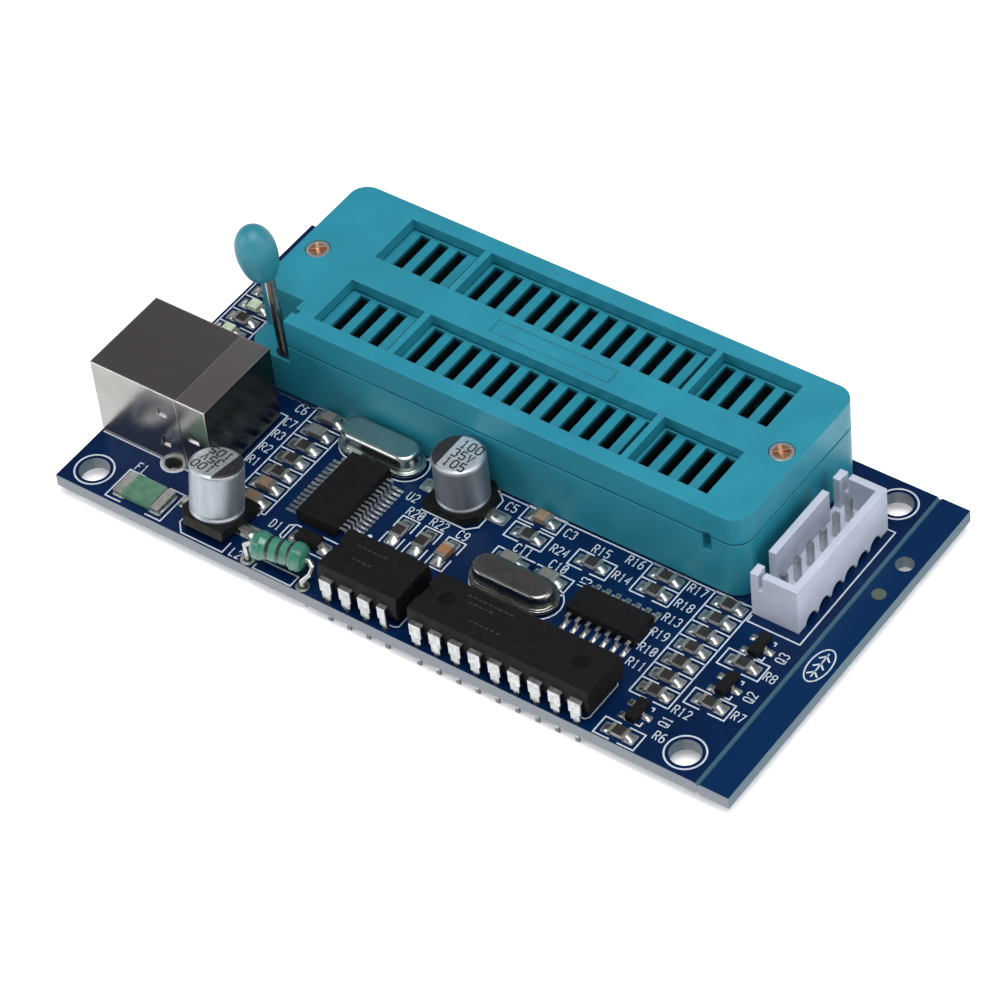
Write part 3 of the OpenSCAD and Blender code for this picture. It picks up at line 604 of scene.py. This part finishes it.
# Strokes on a grid 4 wide and 6 high.
GLYPHS = {
    "0": [[(0, 1), (0, 5), (1, 6), (3, 6), (4, 5), (4, 1), (3, 0), (1, 0), (0, 1)],
          [(1.1, 1.8), (2.9, 4.2)]],
    "O": [[(0, 1), (0, 5), (1, 6), (3, 6), (4, 5), (4, 1), (3, 0), (1, 0), (0, 1)]],
    "1": [[(0.9, 4.8), (2, 6), (2, 0)], [(0.9, 0), (3.1, 0)]],
    "2": [[(0, 5), (1, 6), (3, 6), (4, 5), (4, 4), (0, 0), (4, 0)]],
    "3": [[(0, 5.2), (1, 6), (3, 6), (4, 5), (4, 4), (3, 3.1), (4, 2.2), (4, 1), (3, 0), (1, 0), (0, 0.8)]],
    "4": [[(3, 0), (3, 6), (0, 2), (4, 2)]],
    "5": [[(4, 6), (0.2, 6), (0, 3.4), (3, 3.4), (4, 2.6), (4, 1), (3, 0), (1, 0), (0, 0.8)]],
    "6": [[(3.6, 6), (1.4, 6), (0, 4), (0, 1), (1, 0), (3, 0), (4, 1), (4, 2.4), (3, 3.3), (0.4, 3.3)]],
    "7": [[(0, 6), (4, 6), (1.6, 0)]],
    "8": [[(1, 3.2), (0, 4.1), (0, 5.1), (1, 6), (3, 6), (4, 5.1), (4, 4.1), (3, 3.2), (1, 3.2),
           (0, 2.2), (0, 1), (1, 0), (3, 0), (4, 1), (4, 2.2), (3, 3.2)]],
    "9": [[(0.4, 0), (2.6, 0), (4, 2), (4, 5), (3, 6), (1, 6), (0, 5), (0, 3.6), (1, 2.7), (3.6, 2.7)]],
    "C": [[(4, 5), (3, 6), (1, 6), (0, 5), (0, 1), (1, 0), (3, 0), (4, 1)]],
    "D": [[(0, 0), (0, 6), (2.6, 6), (4, 4.6), (4, 1.4), (2.6, 0), (0, 0)]],
    "F": [[(0, 0), (0, 6), (4, 6)], [(0, 3.2), (3, 3.2)]],
    "L": [[(0, 6), (0, 0), (4, 0)]],
    "Q": [[(0, 1), (0, 5), (1, 6), (3, 6), (4, 5), (4, 1), (3, 0), (1, 0), (0, 1)], [(2.4, 1.8), (4.2, -0.4)]],
    "R": [[(0, 0), (0, 6), (3, 6), (4, 5.2), (4, 4), (3, 3.1), (0, 3.1)], [(2, 3.1), (4, 0)]],
    "U": [[(0, 6), (0, 1), (1, 0), (3, 0), (4, 1), (4, 6)]],
    "V": [[(0, 6), (2, 0), (4, 6)]],
}


def letters(
    bm, text, cx, cy, height=1.15, turn=0, z0=0.0, z1=0.022, stroke=0.125, wide=0.62, gap=1.55, place=at,
):
    """Stroke lettering centred on (cx, cy), turned by whole degrees."""
    unit = height / 6
    step = (4 * wide + gap) * unit
    c, s = math.cos(math.radians(turn)), math.sin(math.radians(turn))
    for i, ch in enumerate(text):
        ox = (i - (len(text) - 1) / 2) * step - 2 * wide * unit
        for line in GLYPHS.get(ch, []):
            pts = []
            for gx, gy in line:
                px, py = ox + gx * wide * unit, (gy - 3) * unit
                pts.append((cx + px * c - py * s, cy + px * s + py * c))
            ribbon(bm, pts, stroke, z0, z1, place=place)


def line(bm, *pts, width=0.17, closed=False):
    ribbon(bm, pts, width, *SILK, closed=closed)


def column(bm, x0, x1, ys, gap0, gap1):
    """A ladder of cells for chip parts; each rung is open in the middle."""
    for y in ys:
        line(bm, (x0, y), (gap0, y))
        line(bm, (gap1, y), (x1, y))
    line(bm, (x0, ys[0]), (x0, ys[-1]))
    line(bm, (x1, ys[0]), (x1, ys[-1]))


def cell(bm, x0, y0, x1, y1, wide=True):
    """An outline open in the middle of its two long sides."""
    if wide:
        m, g = (x0 + x1) / 2, (x1 - x0) * 0.1
        line(bm, (m - g, y1), (x0, y1), (x0, y0), (m - g, y0))
        line(bm, (m + g, y1), (x1, y1), (x1, y0), (m + g, y0))
    else:
        m, g = (y0 + y1) / 2, (y1 - y0) * 0.1
        line(bm, (x0, m - g), (x0, y0), (x1, y0), (x1, m - g))
        line(bm, (x0, m + g), (x0, y1), (x1, y1), (x1, m + g))


def silk_sockets(bm):
    """Hole rings, the socket's front line, the ladders of cells and the receptacle's outline."""
    for x in HOLE_XS:
        for y in HOLE_YS:
            line(bm, *circle(x, y, 2.24), width=0.2, closed=True)
    lo, _ = board_box("socket_base")
    line(bm, (12.2, 23.01), (22.5, 23.01))
    line(bm, (lo.x + 2, lo.y - 0.3), (74.24, lo.y - 0.3), (75.6, lo.y - 0.3))
    column(bm, 18.74, 23.64, [23.35, 21.0, 18.65, 16.35, 14.05, 11.7, 9.4, 7.1], 20.7, 21.7)
    column(bm, 71.65, 76.5, [23.1, 20.8, 18.4, 16.1, 13.8, 11.45, 9.15, 6.8], 73.8, 74.6)
    column(bm, 63.7, 68.55, [23.05, 20.75, 18.45], 65.6, 66.6)
    column(bm, 0.4, 5.3, [36.0, 33.6, 31.2, 28.9, 26.5], 2.4, 3.3)
    line(bm, (0.3, 8.04), (8.75, 8.04))
    line(bm, (11.7, 8.04), (12.6, 8.04))
    line(bm, (15.3, 20.45), (16.6, 20.45), (16.6, 8.04), (15.2, 8.04))
    for y in SHELL_TAB_YS:
        line(bm, *circle(SHELL_TAB_X, y, 1.58), width=0.16, closed=True)


def silk_tall_parts(bm):
    """Outlines round the fuse, both electrolytic cans, the coil, the diode and both crystals."""
    line(bm, (8.8, 4.9), (6.65, 4.9), (6.65, 0.45), (8.8, 0.45))
    line(bm, (12.2, 4.9), (14.35, 4.9), (14.35, 0.45), (12.2, 0.45))
    line(bm, (16.3, 2.2), (16.3, 1.5), (17.4, 0.3), (23.05, 0.3), (23.05, 1.9))
    line(bm, (16.3, 5.9), (16.3, 7.0), (17.4, 8.1), (23.05, 8.1), (23.05, 6.6))
    line(bm, (37.8, 18.6), (37.8, 16.6), (43.6, 16.6), (44.7, 17.6), (44.7, 19.0))
    line(bm, (44.7, 20.9), (44.7, 22.2), (43.5, 23.2), (37.8, 23.2), (37.8, 21.3))
    line(bm, (27.3, 0.95), (27.3, 0.2), (32.4, 0.2), (32.4, 1.7), (27.6, 1.7))
    line(bm, (33.6, 5.6), (33.6, 5.1), (27.6, 5.1), (26.9, 5.6), (26.9, 7.3), (27.6, 7.75), (33.6, 7.75),
         (33.6, 7.2))
    line(bm, (27.45, 5.4), (27.45, 7.5))
    for x0, x1, y in ((23.8, 35.05, 21.25), (47.85, 59.1, 12.25)):
        r = 2.6
        left = circle(x0 + r, y, r, 12, 90, 180)
        line(bm, *left, *circle(x1 - r, y, r, 12, 270, 180), closed=True)


def silk_small_parts(bm):
    """Cells of single chip parts, the chips' ends, the transistors' corners and the header's outline."""
    for x in (36.65, 39.7, 42.8):
        cell(bm, x, 10.25, x + 2.25, 14.85, wide=False)
    cell(bm, 47.6, 20.95, 52.5, 23.15)
    cell(bm, 47.6, 18.1, 52.5, 20.5)
    cell(bm, 55.85, 18.2, 60.7, 20.65)
    cell(bm, 48.15, 14.0, 53.1, 16.5)
    cell(bm, 53.1, 14.0, 58.0, 16.5)
    cell(bm, 71.6, 0.25, 76.6, 2.65)
    cell(bm, 77.25, 14.7, 82.3, 17.1)
    cell(bm, 77.3, 8.4, 82.3, 10.75)
    line(bm, (68.6, 15.0), (69.05, 15.0), (69.05, 12.6), (68.6, 12.6))
    line(bm, (60.2, 15.0), (59.9, 15.0), (59.9, 12.6), (60.2, 12.6))
    line(bm, (69.5, 7.2), (69.9, 7.2), (70.25, 6.8), (70.25, 1.6), (69.9, 1.2), (69.5, 1.2))
    line(bm, (45.6, 7.3), (45.9, 7.3), (45.9, 1.5), (45.4, 1.2), (44.9, 1.2))
    for x, y in TRANSISTORS:
        line(bm, (x - 0.75, y - 1.35), (x + 1.15, y - 1.35), (x + 1.15, y - 0.75))
        line(bm, (x + 0.8, y + 1.45), (x + 1.15, y + 1.45), (x + 1.15, y + 1.0))
    line(bm, (82.3, 39.95), (83.3, 39.95), (83.3, 21.24), (76.75, 21.24), (76.75, 22.2))


def silk_badge(bm):
    """A plain sprig in an oval on the break-off strip."""
    x = 86.6
    line(bm, *circle(x, 19.9, 1.2, 36, ry=2.45), width=0.16, closed=True)
    for k in range(3):
        y = 18.7 + k * 1.2
        line(bm, (x - 0.65, y - 0.35), (x, y + 0.25), (x + 0.65, y - 0.35), width=0.2)
    line(bm, (x, 18.1), (x, 21.8), width=0.16)


def silk_outlines():
    bm = bmesh.new()
    silk_sockets(bm)
    silk_tall_parts(bm)
    silk_small_parts(bm)
    silk_badge(bm)
    # the dot beside one corner of the fine-pitch chip
    disc(bm, 35.4, 10.45, 0, 0.28, *SILK)
    new_piece("silk_outlines", bm, "silk")


def silk_labels():
    bm = bmesh.new()
    labels = [
        ("C6", 17.4, 22.1), ("C7", 17.5, 19.7), ("R3", 17.5, 17.6), ("R2", 17.5, 15.3),
        ("R1", 17.5, 13.1), ("F1", 7.6, 5.75), ("L2", 24.5, 0.95), ("D1", 25.6, 6.6),
        ("U2", 36.0, 17.6), ("R20", 37.7, 15.75), ("R22", 40.85, 15.75), ("C9", 44.0, 15.75),
        ("C5", 46.1, 21.9), ("C3", 53.8, 21.9), ("R24", 54.2, 19.3), ("R15", 58.1, 21.55),
        ("R16", 62.1, 22.1), ("R14", 62.1, 19.5), ("C11", 50.8, 17.35), ("C10", 55.4, 17.35),
        ("R17", 70.0, 22.1), ("R18", 70.0, 19.6), ("R13", 70.0, 17.25), ("R19", 70.0, 14.9),
        ("R10", 70.1, 12.5), ("R11", 70.2, 10.2), ("R12", 78.0, 7.15), ("R6", 77.9, 3.2),
        ("R8", 83.2, 15.8), ("R7", 83.3, 9.6),
    ]
    for text, x, y in labels:
        letters(bm, text, x, y)
    for text, x, y in (("Q1", 77.3, 5.2), ("Q2", 82.9, 12.5), ("Q3", 82.8, 18.7), ("U3", 59.1, 16.9)):
        letters(bm, text, x, y, turn=90)
    new_piece("silk_labels", bm, "silk")


# ---- pads and solder ----
# Middle of each chip part, and its quarter turns.
RESISTORS = [
    (21.2, 17.5, 0), (21.2, 15.2, 0), (21.2, 12.9, 0), (37.8, 12.55, 1), (40.85, 12.55, 1), (50.05, 19.3, 0),
    (58.3, 19.45, 0), (66.15, 21.9, 0), (66.15, 19.6, 0), (74.1, 21.95, 0), (74.1, 19.6, 0), (74.1, 17.25, 0),
    (74.1, 14.95, 0), (74.1, 12.6, 0), (74.1, 10.3, 0), (74.1, 8, 0), (74.1, 1.45, 0), (79.8, 15.9, 0),
    (79.85, 9.6, 0), (2.85, 30.1, 0), (2.85, 34.75, 0),
]
CHIP_CAPS = [
    (21.2, 22.2, 0), (21.2, 19.85, 0), (43.9, 12.55, 1), (50.05, 22.05, 0), (50.6, 15.3, 0), (55.55, 15.3, 0),
    (21.2, 10.6, 0), (21.2, 8.25, 0),
]
LAMPS = [(2.85, 32.4, 0), (2.6, 27.8, 0)]


def turned(cx, cy, quarter, side):
    """Placing round (cx, cy) for a chip part turned by quarter turns, seen from one of its two ends."""
    def place(x, y, z):
        x, y = x * side, y * side
        for _ in range(quarter):
            x, y = -y, x
        return at(cx + x, cy + y, z)

    return place


def beside(cx, cy, side, along_y=False):
    """Placing round (cx, cy) whose first axis points out to one side of the part."""
    def place(u, v, z):
        if along_y:
            return at(cx + v, cy + side * u, z)
        return at(cx + side * u, cy + v, z)

    return place


def pad(bm, place, x0, y0, x1, y1, z1=0.035, r=0.15):
    """A flat pad with round corners."""
    corners = ((x1 - r, y1 - r, 0), (x0 + r, y1 - r, 90), (x0 + r, y0 + r, 180), (x1 - r, y0 + r, 270))
    pts = [p for cx, cy, start in corners for p in circle(cx, cy, r, 3, start, 90)]
    low = [bm.verts.new(place(x, y, 0.0)) for x, y in pts]
    top = [bm.verts.new(place(x, y, z1)) for x, y in pts]
    bm.faces.new(top)
    for i in range(len(pts)):
        j = (i + 1) % len(pts)
        bm.faces.new((low[i], low[j], top[j], top[i]))


def fillet(bm, place, x0, x1, half, height, z0=0.03, nu=7, nv=8):
    """A solder fillet: high against the part at x0, running out to nothing at x1."""
    grid = []
    for i in range(nu + 1):
        u = i / nu
        row = []
        for j in range(nv + 1):
            v = 2 * j / nv - 1
            swell = (1 - v * v) ** 0.5 if abs(v) < 1 else 0.0
            reach = x0 + (x1 - x0) * u * (0.86 + 0.14 * swell)
            z = z0 + height * ((1 - u) ** 1.5 * 0.62 + 0.38 * (1 - u ** 3)) * swell
            row.append(bm.verts.new(place(reach, v * half * (1 - 0.1 * u * u), z)))
        grid.append(row)
    for i in range(nu):
        for j in range(nv):
            bm.faces.new((grid[i][j], grid[i + 1][j], grid[i + 1][j + 1], grid[i][j + 1]))


def chip_part_joints(pads, joints):
    """Both ends of every resistor, chip capacitor and lamp; each fillet is a little different."""
    seed = 3
    for rows, height in ((RESISTORS, 0.4), (CHIP_CAPS, 0.5), (LAMPS, 0.5)):
        for cx, cy, quarter in rows:
            for side in (-1, 1):
                seed = (seed * 37 + 11) % 101
                some = seed / 101
                place = turned(cx, cy, quarter, side)
                pad(pads, place, 0.72, -0.72, 2.02, 0.72)
                fillet(joints, place, 1.04, 1.82 + 0.12 * some, 0.6, height + 0.14 * some)


def large_part_joints(pads, joints):
    """The fuse, both electrolytic cans and the diode."""
    for x0, y0, x1, y1 in (
        (7.15, 0.95, 8.9, 4.4), (12.1, 0.95, 13.85, 4.4), (14.5, 3.35, 17.4, 5.15), (22.0, 3.35, 24.9, 5.15),
        (35.6, 19.05, 38.6, 20.85), (43.9, 19.05, 46.9, 20.85), (27.9, 5.5, 29.2, 7.2), (31.7, 5.5, 33.0, 7.2),
    ):
        pad(pads, at, x0, y0, x1, y1, r=0.3)
    for side in (-1, 1):
        fillet(joints, beside(FUSE[0] + side * 1.15, FUSE[1], side), 1.5, 2.15, 1.5, 0.35)
    for cx, cy, start, height in ((19.78, 4.0, 3.5, 0.8), (41.15, 19.95, 3.9, 0.26)):
        for side in (-1, 1):
            fillet(joints, beside(cx, cy, side), start, 5.35, 0.75, height)
    for side in (-1, 1):
        fillet(joints, beside(*DIODE, side), 1.9, 2.6, 0.62, 0.3)


def flat_chip_joints(pads, joints):
    """The feet of the fine-pitch chip, the flat chip and the three transistors."""
    for k in range(FINE_SIDE):
        y = FINE_CHIP[1] + (k - (FINE_SIDE - 1) / 2) * FINE_PITCH
        for x0, x1 in ((25.05, 26.75), (32.95, 34.65)):
            pad(pads, at, x0, y - 0.19, x1, y + 0.19, r=0.08)
        for side in (-1, 1):
            fillet(joints, beside(FINE_CHIP[0], y, side), 3.86, 4.5, 0.15, 0.12, nu=4, nv=4)
    for k in range(FLAT_SIDE):
        x = FLAT_CHIP[0] + (k - (FLAT_SIDE - 1) / 2) * FLAT_PITCH
        for y0, y1 in ((10.25, 11.75), (15.95, 17.45)):
            pad(pads, at, x - 0.3, y0, x + 0.3, y1, r=0.1)
        for side in (-1, 1):
            fillet(joints, beside(x, FLAT_CHIP[1], side, along_y=True), 3.0, 3.5, 0.24, 0.2, nu=5, nv=5)
    for cx, cy in TRANSISTORS:
        for side, dy in ((-1, -0.95), (-1, 0.95), (1, 0.0)):
            x, y = cx + side * 1.15, cy + dy
            pad(pads, at, x - 0.55, y - 0.42, x + 0.55, y + 0.42, r=0.1)
            fillet(joints, beside(cx, y, side), 1.1, 1.68, 0.36, 0.28, nu=5, nv=6)


def solder_joints():
    pads, joints = bmesh.new(), bmesh.new()
    chip_part_joints(pads, joints)
    large_part_joints(pads, joints)
    flat_chip_joints(pads, joints)
    # rings round the coil's and the receptacle's holes
    rings = [(x, y, 0.45, r) for (x, y), r in zip(COIL_HOLES, (0.85, 0.8))]
    rings += [(SHELL_TAB_X, y, 1.15, 1.5) for y in SHELL_TAB_YS]
    for x, y, r0, r1 in rings:
        disc(pads, x, y, r0, r1, 0.0, 0.035)
    new_piece("solder_pads", pads, "tin")
    new_piece("solder_fillets", joints, "solder", smooth=True)


def cone(bm, x, y, r0, r1, z0, z1, n=20):
    """A concave solder cone round a pin's tail, from radius r0 at z0 to r1 at z1."""
    steps = 5
    rings = []
    for k in range(steps + 1):
        u = k / steps
        r = r1 + (r0 - r1) * (1 - u) ** 2.2
        rings.append([bm.verts.new(at(px, py, z0 + (z1 - z0) * u)) for px, py in circle(x, y, r, n)])
    for a, b in zip(rings, rings[1:]):
        for i in range(n):
            bm.faces.new((a[i], a[(i + 1) % n], b[(i + 1) % n], b[i]))
    bm.faces.new(rings[-1])


def pin_tails():
    """Every pin that comes through the board: x, y and the radius of its solder."""
    tails = []
    for leads, n in (("long_chip_leads", 9), ("short_chip_leads", 4)):
        lo, hi = board_box(leads)
        for i in range(n):
            x = lo.x + 0.75 + i * (hi.x - lo.x - 1.5) / (n - 1)
            tails += [(x, lo.y + 0.12, 0.45), (x, hi.y - 0.12, 0.75)]
    lo, hi = board_box("socket_contacts_front")
    base_lo, base_hi = board_box("socket_base")
    middle = (base_lo.y + base_hi.y) / 2
    for i in range(20):
        x = (lo.x + hi.x) / 2 + (i - 9.5) * PITCH
        tails += [(x, middle - 3 * PITCH, 0.85), (x, middle + 3 * PITCH, 0.85)]
    lo, hi = board_box("header_pins")
    for i in range(6):
        tails.append(((lo.x + hi.x) / 2, lo.y + 0.32 + i * (hi.y - lo.y - 0.64) / 5, 0.85))
    tails += [(x, y, 0.85) for x in (12.9, 14.9) for y in (12.75, 15.25)]
    tails += [(x, y, r) for (x, y), r in zip(COIL_HOLES, (0.75, 0.7))]
    for cx, cy in CRYSTALS:
        tails += [(cx - 2.44, cy, 0.8), (cx + 2.44, cy, 0.8)]
    return tails


def under_solder():
    """Solder cones on the underside, round every pin that comes through."""
    bm = bmesh.new()
    under = -BOARD_T
    edge_gap = 0.05
    # the front row's solder stops short of the board's front edge
    for x, y, r in pin_tails():
        cone(bm, x, y, min(r, y - edge_gap), 0.3, under, under - 0.6)
    for y in SHELL_TAB_YS:
        cone(bm, SHELL_TAB_X, y, 1.7, 1.0, under, under - 0.5)
    new_piece("underside_solder", bm, "solder", smooth=True)


# ---- printing on parts ----
def can_prints():
    """The polarity segment and the rating on each electrolytic can's top; the first can leans back."""
    bm = bmesh.new()
    top = 7.34
    base_half = 3.275
    base_gap = 0.06
    flat, rim, chord = 2.64, 2.9, 1.2
    steps = 20
    for cx, cy, side, lean in ((19.78, 3.8, 1, 11.0), (41.15, 19.95, -1, 0.0)):
        c, s = math.cos(math.radians(lean)), math.sin(math.radians(lean))

        def on_top(x, y, z, cx=cx, cy=cy, c=c, s=s):
            z += top
            return at(cx + x, cy + y * c + z * s, base_gap + base_half * s - y * s + z * c)

        rows = []
        for r, drop in ((flat, 0.006), (rim, -0.124)):
            a = math.degrees(math.acos(chord / r))
            start = -a if side > 0 else 180 - a
            rows.append([bm.verts.new(on_top(x, y, drop)) for x, y in circle(0, 0, r, steps, start, 2 * a)])
        bm.faces.new(rows[0])
        for i in range(steps):
            bm.faces.new((rows[0][i], rows[1][i], rows[1][i + 1], rows[0][i + 1]))
        turn = 180 if side > 0 else 0
        for row, (text, shift) in enumerate((("1OO", 0.75), ("35V", 0.6), ("1O5", 0.55))):
            letters(bm, text, -side * shift, (1 - row) * 1.5 * -side, turn=turn, z0=0.002, z1=0.01,
                    stroke=0.2, wide=0.8, gap=1.9, place=on_top)
    new_piece("can_prints", bm, "print_black")


def chip_marks():
    """Faint rows of plain dashes where the tall chips carry their marking."""
    bm = bmesh.new()
    height = 0.1
    gap = 0.22

    def row(x, y, lengths):
        for length in lengths:
            ribbon(bm, [(x, y), (x + length, y)], height, CHIP_TOP, CHIP_TOP + 0.006)
            x += length + gap

    row(52.2, 5.9, [0.5, 0.5, 0.35, 0.5, 0.5, 0.3, 0.5, 0.5, 0.5])
    row(52.9, 5.1, [0.4, 0.5, 0.5, 0.3, 0.5])
    row(54.4, 3.0, [0.5, 0.5, 0.35, 0.5, 0.5, 0.5])
    row(38.0, 5.6, [0.5, 0.4, 0.5, 0.5, 0.3, 0.5])
    row(38.6, 3.8, [0.4, 0.5, 0.5, 0.4])
    new_piece("chip_marks", bm, "etch_grey")


def board_marks():
    """The olive dot on the break-off strip."""
    bm = bmesh.new()
    disc(bm, 86.5, 31.56, 0, 0.8, 0.0, 0.012)
    new_piece("board_marks", bm, "mark_olive")


make_materials()
make_camera()
make_world()
make_stage()
dress_nodes()
silk_outlines()
silk_labels()
solder_joints()
under_solder()
can_prints()
chip_marks()
board_marks()
